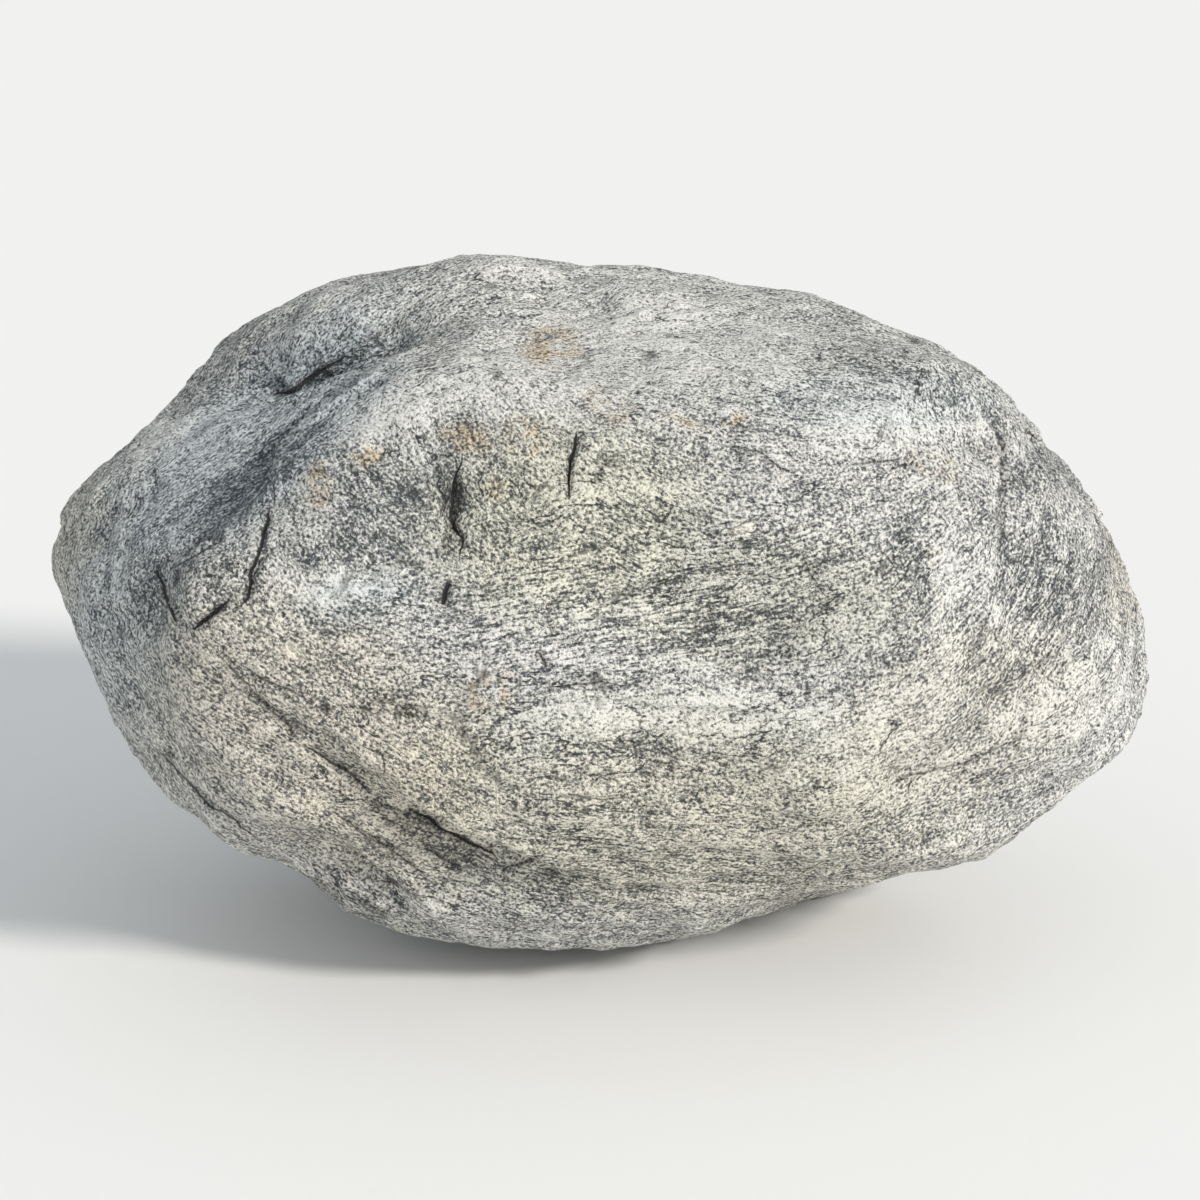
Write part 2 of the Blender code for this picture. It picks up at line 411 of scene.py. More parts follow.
class Paint(Enum):
    """What a patch of colour is: the attribute that holds it, and its place there."""

    # Dark mineral, and painted shade in places.
    DARK = ("tone", 0)
    PALE = ("tone", 1)
    STRIPED = ("tone", 2)
    OLIVE = ("tint_and_light", 0)
    # Warm light bounced from the floor, painted onto the low faces.
    GROUND_BOUNCE = ("tint_and_light", 1)
    # Cool skylight painted into faces in shade.
    BLUE = ("tint_and_light", 2)
    RUST = ("stain_and_shade", 0)
    # Painted shade in cracks, beside ledges and in small pits.
    PAINTED_SHADE = ("stain_and_shade", 1)
    CREAM = ("stain_and_shade", 2)


@dataclass(frozen=True)
class Patch:
    """A soft oval of colour, turned in the picture. Its sizes are in pixels."""

    centre: tuple[float, float]
    half_length: float
    half_width: float
    bearing: float = 0.0
    strength: float = 1.0
    side: Side = Side.FRONT

    full_within = 0.55
    gone_beyond = 1.35

    def cover(self, surface: Surface) -> Array:
        """How strongly the patch lies at each point, 0 to 1."""
        places, visible = surface.from_side(self.side)
        turn = radians(self.bearing)
        offset = places - np.array(self.centre)
        along = offset @ np.array((cos(turn), -sin(turn)))
        across = offset @ np.array((sin(turn), cos(turn)))
        reach = np.hypot(along / self.half_length, across / self.half_width)
        return self.strength * smooth_step(self.gone_beyond, self.full_within, reach) * visible


# Which way the banding runs at places of each observer's picture: pixels across and down, and the
# bearing in degrees, where rising to the right is positive.
GRAIN_READINGS: dict[Side, dict[str, tuple[float, float, float]]] = {
    Side.FRONT: {
        "crown left": (300, 300, 30), "crown hump": (400, 310, 40), "crown middle": (540, 300, 10),
        "crown right": (720, 310, 0), "shoulder": (860, 350, -10), "shoulder end": (960, 385, -60),
        "far left top": (110, 490, 45), "trough": (250, 425, 35), "rim left": (390, 370, 30),
        "rim right": (620, 360, 0), "block corner": (455, 470, -70), "brow left": (540, 460, -50),
        "brow right": (670, 440, -25), "pale shoulder": (800, 430, -10),
        "grey wedge": (910, 450, 30), "end ridge": (1000, 450, 75), "left nose": (60, 560, -80),
        "knob": (150, 590, -65), "beside the knob": (270, 550, -70), "blue band": (370, 560, 5),
        "face middle": (520, 580, 15), "face right": (760, 600, 10), "inner corner": (900, 560, 40),
        "end face": (1030, 560, 60), "right nose": (1115, 600, 75), "left flank": (160, 670, -50),
        "left slope": (320, 690, -35), "face low": (580, 670, 10), "pale band": (740, 700, 5),
        "end low": (980, 680, 50), "belly left": (390, 780, -30), "belly": (600, 750, -5),
        "belly right": (900, 760, 25), "end foot": (1080, 710, 35),
        "foot far left": (300, 850, -30), "foot left": (520, 860, -20),
        "foot middle": (680, 860, -5), "foot right": (880, 830, 15),
    },
    Side.BACK: {
        "back left": (300, 480, 30), "back crown left": (480, 380, 10),
        "back crown right": (720, 360, -15), "back right": (900, 420, -40),
        "back face left": (420, 600, 20), "back face": (640, 560, -5),
        "back face right": (860, 620, -20), "back foot left": (480, 780, -10),
        "back foot right": (760, 800, 10),
    },
    Side.LEFT: {
        "left end": (500, 560, 25), "left end low": (700, 640, -10),
    },
    Side.RIGHT: {
        "right end": (480, 560, 10), "right end back": (700, 480, -20),
        "right end low": (600, 700, 15),
    },
    Side.TOP: {
        "top left": (420, 520, 25), "top": (640, 500, 5), "top right": (840, 560, -10),
    },
    Side.BELOW: {
        "underside left": (480, 600, -10), "underside right": (740, 620, 10),
    },
}


@dataclass
class Banding:
    """The direction of the gneiss banding over the whole surface, from the readings."""

    tree: BVHTree
    reach: float = 0.055
    far_pull: float = 1e-3
    least_lean: float = 0.3
    anchors: list[Array] = field(default_factory=list)
    runs: list[Array] = field(default_factory=list)

    def take_readings(self) -> None:
        """Carries each reading from its picture onto the stone."""
        for side, readings in GRAIN_READINGS.items():
            for across, down, bearing in readings.values():
                self.take(side.value, across, down, radians(bearing))

    def take(self, observer: Observer, across: float, down: float, turn: float) -> None:
        """Carries one reading onto the stone, if its place is on the stone."""
        line = observer.sight_line(across, down)
        point, normal, _, _ = self.tree.ray_cast(Vector(observer.eye()), Vector(line))
        if point is None:
            return
        seen = observer.right() * cos(turn) + observer.up() * sin(turn)
        towards = observer.towards()
        lean = max(self.least_lean, float(towards @ np.array(normal)))
        self.anchors.append(np.array(point))
        self.runs.append(unit(seen - towards * float(seen @ np.array(normal)) / lean))

    def directions(self, points: Array, normals: Array) -> Array:
        """Unit direction of the banding along the surface at each point.

        Args:
            points: Places in metres, one per row.
            normals: The surface's unit normals there.

        Returns:
            One tangent unit vector per point. Its sign is arbitrary.
        """
        spread = np.zeros((len(points), 3, 3))
        for anchor, run in zip(self.anchors, self.runs):
            away = np.sum((points - anchor) ** 2, axis=1) / self.reach**2
            pull = np.exp(-away) + self.far_pull / (1.0 + away) ** 2
            spread += pull[:, None, None] * np.outer(run, run)
        flat = np.eye(3) - normals[:, :, None] * normals[:, None, :]
        _, vectors = np.linalg.eigh(flat @ spread @ flat)
        return unit(vectors[:, :, 2])


@dataclass
class GrainCharts:
    """Small overlapping maps of the surface, each laid straight along the banding.

    Three layers of maps cover the stone. A layer's weight falls to 0 where its maps meet, so a
    pattern that is drawn out along the banding has no seam and isn't bent.
    """

    banding: Banding
    frames: list[tuple[Array, Array]] = field(default_factory=list)

    def lay_out(self, surface: Surface) -> None:
        """Spreads each layer's map centres evenly and gives each map its three axes.

        Args:
            surface: Points that the centres are chosen from.
        """
        for layer in range(LAYERS):
            chosen = [(layer * FIRST_POINT_STEP) % len(surface.points)]
            nearest = np.full(len(surface.points), np.inf)
            for _ in range(MAPS_PER_LAYER - 1):
                away = np.sum((surface.points - surface.points[chosen[-1]]) ** 2, axis=1)
                nearest = np.minimum(nearest, away)
                chosen.append(int(np.argmax(nearest)))
            centres, normals = surface.points[chosen], surface.normals[chosen]
            run = self.banding.directions(centres, normals)
            axes = np.stack((run, np.cross(normals, run), normals), axis=1)
            self.frames.append((centres, axes))

    def coordinates(self, points: Array) -> tuple[list[Array], Array]:
        """Map coordinates of every point in every layer.

        Args:
            points: Places in metres, one per row.

        Returns:
            For each layer, metres along the banding, across it and outwards; then the layers'
            weights, one column per layer.
        """
        found, weights = [], []
        for layer, (centres, axes) in enumerate(self.frames):
            nearest = np.full(len(points), np.inf)
            runner_up = np.full(len(points), np.inf)
            home = np.zeros(len(points), int)
            for number, centre in enumerate(centres):
                away = np.linalg.norm(points - centre, axis=1)
                closer = away < nearest
                runner_up = np.where(closer, nearest, np.minimum(runner_up, away))
                home[closer] = number
                nearest = np.minimum(nearest, away)
            local = np.einsum("nij,nj->ni", axes[home], points - centres[home])
            apart = home[:, None] * np.array(MAP_SPACING) + layer * LAYER_SPACING
            found.append(local + apart)
            weights.append(smooth_step(0.0, MAP_OVERLAP, runner_up - nearest))
        return found, np.stack(weights, axis=1) + LEAST_WEIGHT

    def ribs(
        self,
        maps: tuple[list[Array], Array],
        along: float,
        across: float,
        octaves: int,
    ) -> Array:
        """Noise drawn out along the banding, about -1 to 1.

        Args:
            maps: What coordinates() gave.
            along: The pattern's length along the banding, in metres.
            across: Its width across the banding, in metres.
            octaves: How many times finer detail is added.

        Returns:
            One value per point.
        """
        local, weights = maps
        size = np.array((along, across, across))
        layers = [fractal(places / size, 1.0, octaves) for places in local]
        blended = np.sum(weights * np.stack(layers, axis=1), axis=1)
        return blended / np.linalg.norm(weights, axis=1)


def with_modifier(mesh: Mesh, kind: str, **settings: object) -> Mesh:
    """The mesh as one modifier leaves it.

    Args:
        mesh: The mesh to start from.
        kind: The modifier's type.
        **settings: The modifier's properties.

    Returns:
        A new mesh.
    """
    holder = bpy.data.objects.new("holder", mesh)
    bpy.context.scene.collection.objects.link(holder)
    modifier = holder.modifiers.new(kind.title(), kind)
    for name, value in settings.items():
        setattr(modifier, name, value)
    graph = bpy.context.evaluated_depsgraph_get()
    made = bpy.data.meshes.new_from_object(holder.evaluated_get(graph))
    bpy.data.objects.remove(holder)
    return made


def surface_of(mesh: Mesh) -> Surface:
    """The mesh's points and normals."""
    points = np.empty(len(mesh.vertices) * 3)
    normals = np.empty(len(mesh.vertices) * 3)
    mesh.vertices.foreach_get("co", points)
    mesh.vertex_normals.foreach_get("vector", normals)
    return Surface(points.reshape(-1, 3), normals.reshape(-1, 3))


def triangle_count(mesh: Mesh) -> int:
    """How many triangles the mesh's faces make."""
    return sum(len(face.vertices) - 2 for face in mesh.polygons)


def sunken(mesh: Mesh, surface: Surface) -> Array:
    """How far each point is sunk among its neighbours, -1 (proud) to 1 (sunk)."""
    ends = np.empty(len(mesh.edges) * 2, int)
    mesh.edges.foreach_get("vertices", ends)
    ends = ends.reshape(-1, 2)
    here, there = np.concatenate((ends, ends[:, ::-1])).T
    most = len(surface.points)
    count = np.maximum(np.bincount(here, minlength=most), 1)
    beside = surface.points[there].T
    around = np.stack([np.bincount(here, row, most) / count for row in beside], axis=1)
    depth = np.sum((around - surface.points) * surface.normals, axis=1) * SUNK_GAIN
    for _ in range(SUNK_PASSES):
        spread = NEIGHBOUR_SHARE * np.bincount(here, depth[there], most) / count
        depth = OWN_SHARE * depth + spread
    return np.clip(depth, -1.0, 1.0)


@dataclass(frozen=True)
class Lumps:
    """One layer of relief that has no direction. Sizes are in metres."""

    height: float
    size: float
    octaves: int
    seed: float

    def pattern(self, points: Array) -> Array:
        """The layer's shape at each point, about -1 to 1."""
        return fractal(points, self.size, self.octaves, self.seed)


@dataclass(frozen=True)
class Ribs:
    """One layer of ribs along the banding, taller on the right end face. Sizes are in metres."""

    height: float
    more_at_end: float
    along: float
    across: float
    octaves: int = 3


LUMPS = Lumps(height=0.0030, size=0.085, octaves=4, seed=11.3)
FOLDS = Lumps(height=0.0040, size=0.13, octaves=2, seed=5.2)
PIMPLES = Lumps(height=0.0014, size=0.028, octaves=3, seed=21.7)
DENTS = Lumps(height=0.0028, size=0.050, octaves=3, seed=33.9)
DENT_RIM = (0.15, 0.75)
BROAD_RIBS = Ribs(height=0.0016, more_at_end=0.0018, along=0.10, across=0.017)
FINE_RIBS = Ribs(height=0.0008, more_at_end=0.0005, along=0.022, across=0.007)
END_FACE = (0.27, 0.36)


@dataclass
class BoulderSkin:
    """The stone's visible surface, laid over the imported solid."""

    node: bpy.types.Object
    marks: dict[str, Mark]
    patches: dict[Paint, dict[str, Patch]]
    levels: int

    def smooth_copy(self) -> Mesh:
        """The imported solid's mesh, merged and smoothly subdivided."""
        grid = bmesh.new()
        grid.from_mesh(self.node.data)
        grid.transform(self.node.matrix_world)
        bmesh.ops.remove_doubles(grid, verts=grid.verts, dist=WELD)
        bmesh.ops.join_triangles(
            grid,
            faces=grid.faces,
            angle_face_threshold=SQUARE_ENOUGH,
            angle_shape_threshold=SQUARE_ENOUGH,
        )
        coarse = bpy.data.meshes.new("coarse")
        grid.to_mesh(coarse)
        grid.free()
        return with_modifier(coarse, "SUBSURF", levels=self.levels, render_levels=self.levels)

    def charts(self, mesh: Mesh, surface: Surface) -> GrainCharts:
        """Lays the banding and its maps over the smooth surface."""
        points = [Vector(point) for point in surface.points]
        tree = BVHTree.FromPolygons(points, [face.vertices for face in mesh.polygons])
        banding = Banding(tree)
        banding.take_readings()
        charts = GrainCharts(banding)
        charts.lay_out(surface)
        return charts

    def heights(self, surface: Surface, charts: GrainCharts) -> Array:
        """Metres that each point moves outwards. The flat base stays where it is."""
        points = surface.points
        maps = charts.coordinates(points)
        end_face = smooth_step(*END_FACE, points[:, 0])
        height = LUMPS.height * LUMPS.pattern(points)
        height -= FOLDS.height * np.abs(FOLDS.pattern(points))
        height += PIMPLES.height * PIMPLES.pattern(points)
        height -= DENTS.height * smooth_step(*DENT_RIM, DENTS.pattern(points))
        for ribs in (BROAD_RIBS, FINE_RIBS):
            tall = ribs.height + ribs.more_at_end * end_face
            height += tall * charts.ribs(maps, ribs.along, ribs.across, ribs.octaves)
        for mark in self.marks.values():
            height += mark.relief(surface)
        return height * smooth_step(0.0, BASE_FADE, points[:, 2])

    def crack_lines(self, surface: Surface) -> Array:
        """The nearest crack's signed distance in widths, and its strength, at each point."""
        lines = np.zeros((len(surface.points), 3))
        lines[:, 0] = FAR_FROM_CRACK
        for mark in self.marks.values():
            if not isinstance(mark, Crack):
                continue
            distance, strength = mark.trace(surface)
            closer = (strength > 0) & (np.abs(distance) < np.abs(lines[:, 0]))
            lines[closer, 0] = distance[closer]
            lines[closer, 1] = strength[closer]
        return lines

    def colour_masks(self, surface: Surface) -> dict[str, Array]:
        """The patches and the painted shade of the marks, three masks to each attribute name."""
        covers = {}
        for paint in Paint:
            covers[paint] = [patch.cover(surface) for patch in self.patches[paint].values()]
        # The marks add painted shade in their cracks and below their steps.
        covers[Paint.PAINTED_SHADE] += [mark.painted_shade(surface) for mark in self.marks.values()]
        masks = {name: np.zeros((len(surface.points), 3)) for name in ATTRIBUTES}
        for paint, found in covers.items():
            name, channel = paint.value
            masks[name][:, channel] = np.max(found, axis=0)
        return masks

    def paint(self, mesh: Mesh, charts: GrainCharts) -> None:
        """Writes the colour masks and the map coordinates that the material reads."""
        surface = surface_of(mesh)
        local, weights = charts.coordinates(surface.points)
        written = self.colour_masks(surface)
        written["crack"] = self.crack_lines(surface)
        written["weights"] = weights
        # Painted shade in hollows; proud edges come out lighter, as wear.
        written["worn"] = np.repeat(sunken(mesh, surface)[:, None], 3, axis=1)
        for layer, places in enumerate(local):
            written[f"map{layer}"] = places
        for name, values in written.items():
            attribute = mesh.attributes.new(name, "FLOAT_VECTOR", "POINT")
            attribute.data.foreach_set("vector", values.astype(np.float32).ravel())

    def build(self) -> bpy.types.Object:
        """Makes the piece and returns its object."""
        mesh = self.smooth_copy()
        surface = surface_of(mesh)
        charts = self.charts(mesh, surface)
        points = surface.points + surface.normals * self.heights(surface, charts)[:, None]
        points[:, 2] = np.maximum(points[:, 2], 0.0)
        mesh.vertices.foreach_set("co", points.ravel())
        mesh.update()
        share = MOST_TRIANGLES / triangle_count(mesh)
        if share < 1:
            mesh = with_modifier(mesh, "DECIMATE", ratio=share, use_collapse_triangulate=True)
        mesh.shade_smooth()
        self.paint(mesh, charts)
        piece = bpy.data.objects.new("boulder_skin", mesh)
        bpy.context.scene.collection.objects.link(piece)
        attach(piece, "root")
        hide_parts("boulder")
        return piece


MIDDLE = 0.5
MIX_FACTOR = 0
MIX_BELOW = 6
MIX_ABOVE = 7
MIX_COLOUR = 2
BANDED_ROUGHNESS = 0.55
ROUND_ROUGHNESS = 0.6

# Length and width in metres, and detail.
BANDED_PATTERNS = {
    "flakes": (0.0038, 0.0023, 2.0),
    "streaks": (0.015, 0.0030, 2.0),
    "fine lines": (0.028, 0.0021, 2.0),
    "bands": (0.095, 0.012, 3.0),
    "wrinkles": (0.060, 0.026, 4.0),
}

# Patterns to the metre, and detail.
ROUND_PATTERNS = {
    "blotches": (22.0, 4.0),
    "mottle": (85.0, 3.0),
    "speckle": (470.0, 2.0),
    "spots": (60.0, 3.0),
}

# How much each pattern lightens or darkens the stone, and how much it stands out.
TONE_GAINS = {
    "flakes": 1.50,
    "streaks": 0.45,
    "speckle": 1.75,
    "bands": 0.50,
    "blotches": 0.42,
    "mottle": 0.14,
}
HEIGHT_GAINS = {"flakes": 1.0, "streaks": 0.6, "speckle": 0.9, "mottle": 1.2}


@dataclass
class Wiring:
    """Adds nodes to one tree and joins them."""

    tree: bpy.types.NodeTree

    def add(self, kind: str, inputs: dict | None = None, **settings: object) -> bpy.types.Node:
        """A new node.

        Args:
            kind: The node's type name.
            inputs: Socket names or numbers, each with a socket to join or a plain value.
            **settings: The node's properties.

        Returns:
            The node.
        """
        node = self.tree.nodes.new(kind)
        for name, value in settings.items():
            setattr(node, name, value)
        for name, value in (inputs or {}).items():
            if isinstance(value, Socket):
                self.tree.links.new(value, node.inputs[name])
            else:
                node.inputs[name].default_value = value
        return node

    def maths(self, operation: str, *values: object) -> Socket:
        """The result of a Math node."""
        return self.add("ShaderNodeMath", dict(enumerate(values)), operation=operation).outputs[0]

    def scaled(self, socket: Socket, gain: float) -> Socket:
        """A 0 to 1 pattern turned to one about 0 and multiplied."""
        return self.maths("MULTIPLY", self.maths("SUBTRACT", socket, MIDDLE), gain)

    def total(self, *values: object) -> Socket:
        """The sum of several values."""
        summed = values[0]
        for value in values[1:]:
            summed = self.maths("ADD", summed, value)
        return summed

    def ease(self, socket: Socket, low: float, high: float) -> Socket:
        """A value eased from 0 at low to 1 at high."""
        inputs = {"Value": socket, "From Min": low, "From Max": high}
        return self.add("ShaderNodeMapRange", inputs, interpolation_type="SMOOTHSTEP").outputs[0]

    def attribute(self, name: str) -> Socket:
        """The vector that the mesh holds under a name."""
        return self.add("ShaderNodeAttribute", attribute_name=name).outputs["Vector"]

    def channels(self, name: str) -> list[Socket]:
        """The three numbers of one of the mesh's vectors."""
        return list(self.add("ShaderNodeSeparateXYZ", {0: self.attribute(name)}).outputs)

    def noise(self, place: Socket, scale: float, detail: object, rough: float) -> Socket:
        """A noise pattern's value, 0 to 1."""
        inputs = {"Vector": place, "Scale": scale, "Detail": detail, "Roughness": rough}
        return self.add("ShaderNodeTexNoise", inputs).outputs[0]

    def blend(self, share: object, below: object, above: object, how: str = "MIX") -> Socket:
        """Two colours blended.

        Args:
            share: How much of the second colour shows, 0 to 1.
            below: The first colour.
            above: The second colour.
            how: The blend type.

        Returns:
            The blended colour.
        """
        inputs = {MIX_FACTOR: share, MIX_BELOW: below, MIX_ABOVE: above}
        mix = self.add("ShaderNodeMix", inputs, data_type="RGBA", blend_type=how)
        return mix.outputs[MIX_COLOUR]


def banded_noise_group() -> bpy.types.NodeTree:
    """Node group: noise drawn out along the banding, blended over the three layers of maps."""
    group = bpy.data.node_groups.new("banded noise", "ShaderNodeTree")
    for name in ("Along", "Across", "Detail"):
        group.interface.new_socket(name, in_out="INPUT", socket_type="NodeSocketFloat")
    group.interface.new_socket("Value", in_out="OUTPUT", socket_type="NodeSocketFloat")
    wiring = Wiring(group)
    given = wiring.add("NodeGroupInput").outputs
    sides = {0: given["Along"], 1: given["Across"], 2: given["Across"]}
    size = wiring.add("ShaderNodeCombineXYZ", sides).outputs[0]
    weights = wiring.attribute("weights")
    shares = wiring.channels("weights")
    parts = []
    for layer in range(LAYERS):
        inputs = {0: wiring.attribute(f"map{layer}"), 1: size}
        place = wiring.add("ShaderNodeVectorMath", inputs, operation="DIVIDE").outputs[0]
        pattern = wiring.noise(place, 1.0, given["Detail"], BANDED_ROUGHNESS)
        parts.append(wiring.maths("MULTIPLY", wiring.maths("SUBTRACT", pattern, MIDDLE), shares[layer]))
    length = wiring.add("ShaderNodeVectorMath", {0: weights}, operation="LENGTH").outputs["Value"]
    even = wiring.maths("DIVIDE", wiring.total(*parts), length)
    wiring.add("NodeGroupOutput", {"Value": wiring.maths("ADD", even, MIDDLE)})
    return group


@dataclass(frozen=True)
class GneissFinish:
    """Weathered banded gneiss: dark mica flakes and pale feldspar, stained in places."""

    mica: Colour = (0.055, 0.060, 0.064, 1)
    grey: Colour = (0.215, 0.225, 0.225, 1)
    feldspar: Colour = (0.500, 0.495, 0.465, 1)
    quartz: Colour = (0.800, 0.795, 0.760, 1)
    mica_stop: float = 0.10
    grey_stop: float = 0.38
    feldspar_stop: float = 0.58
    quartz_stop: float = 0.86
    olive: Colour = (0.98, 0.97, 0.86, 1)
    # Warm light bounced from the floor, painted onto the low faces.
    warm: Colour = (1.00, 0.95, 0.87, 1)
    # Cool skylight painted over faces in shade.
    blue: Colour = (0.86, 0.93, 1.00, 1)
    rust: Colour = (0.90, 0.75, 0.58, 1)
    cream: Colour = (0.86, 0.80, 0.66, 1)
    # Near black, painted as shade into cracks, beside ledges and in pits.
    painted_shade: Colour = (0.030, 0.028, 0.026, 1)
    mean_tone: float = 0.53
    stripe_gain: float = 1.5
    pale_shift: float = 0.19
    # Darkens the dark mineral patches and the painted shade patches.
    dark_and_shade_shift: float = -0.22
    # Darkens sunk points as painted shade and lightens proud edges as wear.
    hollow_shade_and_wear_shift: float = -0.14
    crease_shift: float = -0.38
    crease_width: float = 0.018
    creased_blotches: tuple[float, float] = (0.47, 0.58)
    spotted: tuple[float, float] = (0.36, 0.60)
    crack_raggedness: float = 1.6
    crack_edges: tuple[float, float] = (0.95, 0.30)
    crease_height: float = -0.5
    crack_height: float = -1.5
    grain_depth: float = 0.0017
    dull_tones: tuple[float, float] = (-0.4, 0.6)
    roughness: tuple[float, float] = (0.62, 0.92)
    specular: float = 0.35

    def material(self) -> bpy.types.Material:
        """The stone's material."""
        stone = bpy.data.materials.new("gneiss")
        stone.use_nodes = True
        tree = GneissTree(stone.node_tree, self)
        shader = stone.node_tree.nodes["Principled BSDF"]
        shader.inputs["Specular IOR Level"].default_value = self.specular
        for name, socket in tree.shader_inputs().items():
            stone.node_tree.links.new(socket, shader.inputs[name])
        return stone


@dataclass
class GneissTree(Wiring):
    """The nodes of the stone's material."""

    finish: GneissFinish
    patterns: dict[str, Socket] = field(default_factory=dict)
    masks: dict[Paint, Socket] = field(default_factory=dict)

    def __post_init__(self) -> None:
        """Adds the noise patterns, each 0 to 1, and reads the mesh's colour masks."""
        group = banded_noise_group()
        place = self.add("ShaderNodeTexCoord").outputs["Object"]
        for name, (along, across, detail) in BANDED_PATTERNS.items():
            inputs = {"Along": along, "Across": across, "Detail": detail}
            self.patterns[name] = self.add("ShaderNodeGroup", inputs, node_tree=group).outputs[0]
        for name, (scale, detail) in ROUND_PATTERNS.items():
            self.patterns[name] = self.noise(place, scale, detail, ROUND_ROUGHNESS)
        held = {name: self.channels(name) for name in ATTRIBUTES}
        for paint in Paint:
            name, channel = paint.value
            self.masks[paint] = held[name][channel]

    def weighed(self, gains: dict[str, float]) -> list[Socket]:
        """The named patterns, each about 0 and times its gain."""
        return [self.scaled(self.patterns[name], gain) for name, gain in gains.items()]

    def creases(self) -> Socket:
        """Thin lines along the banding, in some blotches only."""
        off_line = self.maths("SUBTRACT", self.patterns["wrinkles"], MIDDLE)
        line = self.ease(self.maths("ABSOLUTE", off_line), self.finish.crease_width, 0.0)
        blotches = self.ease(self.patterns["blotches"], *self.finish.creased_blotches)
        return self.maths("MULTIPLY", line, blotches)

    def cracks(self) -> Socket:
        """The dark cores of the cracks, painted in as shade."""
        offset, strength, _ = self.channels("crack")
        drift = self.scaled(self.patterns["mottle"], self.finish.crack_raggedness)
        ragged = self.maths("ABSOLUTE", self.maths("ADD", offset, drift))
        return self.maths("MULTIPLY", self.ease(ragged, *self.finish.crack_edges), strength)

    def tone(self, creases: Socket) -> Socket:
        """How pale the mineral at each place is, about 0 to 1, darkened by painted shade in hollows and
        patches.
        """
        look, masks = self.finish, self.masks
        lines = self.scaled(self.patterns["fine lines"], look.stripe_gain)
        shifts = (
            (masks[Paint.STRIPED], lines),
            (masks[Paint.PALE], look.pale_shift),
            # Dark mineral patches and painted shade patches.
            (masks[Paint.DARK], look.dark_and_shade_shift),
            # Painted shade in hollows, lighter proud edges as wear.
            (self.channels("worn")[0], look.hollow_shade_and_wear_shift),
            (creases, look.crease_shift),
        )
        shifted = [self.maths("MULTIPLY", mask, shift) for mask, shift in shifts]
        return self.total(look.mean_tone, *self.weighed(TONE_GAINS), *shifted)

    def colour(self, tone: Socket) -> Socket:
        """The mineral's colour by tone, with its olive tint, painted sky shade and ground bounce, its
        spotty stains and painted crack shade.
        """
        look, masks = self.finish, self.masks
        ramp = self.add("ShaderNodeValToRGB", {0: tone})
        stops = ramp.color_ramp.elements
        stops[0].position, stops[0].color = look.mica_stop, look.mica
        stops[1].position, stops[1].color = look.quartz_stop, look.quartz
        stops.new(look.grey_stop).color = look.grey
        stops.new(look.feldspar_stop).color = look.feldspar
        colour = ramp.outputs[0]
        # The olive tint is the stone's own; the other two are painted skylight in shade and painted
        # ground bounce.
        tints = {Paint.OLIVE: look.olive, Paint.GROUND_BOUNCE: look.warm, Paint.BLUE: look.blue}
        for paint, tint_and_light in tints.items():
            colour = self.blend(masks[paint], colour, tint_and_light, "MULTIPLY")
        patchy = self.ease(self.patterns["spots"], *look.spotted)
        rust = self.maths("MULTIPLY", masks[Paint.RUST], patchy)
        cream = self.maths("MULTIPLY", masks[Paint.CREAM], patchy)
        colour = self.blend(rust, colour, look.rust, "MULTIPLY")
        colour = self.blend(cream, colour, look.cream)
        # Painted shade in cracks, beside ledges and in pits.
        return self.blend(masks[Paint.PAINTED_SHADE], colour, look.painted_shade)

    def shader_inputs(self) -> dict[str, Socket]:
        """What each of the shader's inputs is joined to."""
        look = self.finish
        creases, cracks = self.creases(), self.cracks()
        tone = self.tone(creases)
        cuts = ((creases, look.crease_height), (cracks, look.crack_height))
        cut = [self.maths("MULTIPLY", mask, height) for mask, height in cuts]
        height = self.total(*self.weighed(HEIGHT_GAINS), *cut)
        relief = {"Height": height, "Distance": look.grain_depth, "Strength": 1.0}
        smooth, rough = look.roughness
        span = {"Value": self.ease(tone, *look.dull_tones), "To Min": smooth, "To Max": rough}
        return {
            # The crack cores are painted dark as shade.
            "Base Color": self.blend(cracks, self.colour(tone), look.painted_shade),
            "Roughness": self.add("ShaderNodeMapRange", span).outputs[0],
            "Normal": self.add("ShaderNodeBump", relief).outputs[0],
        }


